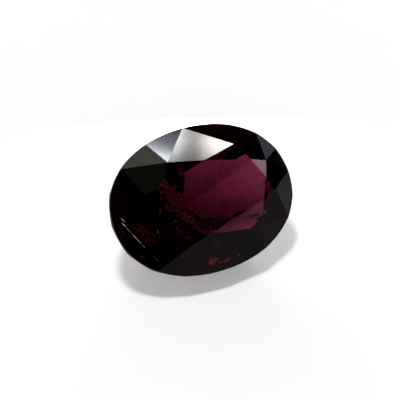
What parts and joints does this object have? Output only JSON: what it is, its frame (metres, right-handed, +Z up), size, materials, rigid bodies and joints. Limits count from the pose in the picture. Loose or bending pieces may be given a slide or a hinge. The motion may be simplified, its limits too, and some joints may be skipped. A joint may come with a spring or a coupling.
{
  "type": "faceted oval gemstone",
  "caption": "Clear faceted stone with an oval outline, a pointed faceted underside and a flat table, lying tilted on one lower facet.",
  "frame": {"origin": "on the surface the stone lies on, under the middle of its bounding box", "axes": "+Z up; X along the stone's length; the stone leans about X, its table facing up and towards -Y"},
  "size_m": [0.009, 0.0062, 0.0056],
  "materials": {
    "tourmaline": "polished, clear, very dark purplish red"
  },
  "bodies": {
    "root": {"gemstone": "tourmaline"}
  },
  "joints": []
}
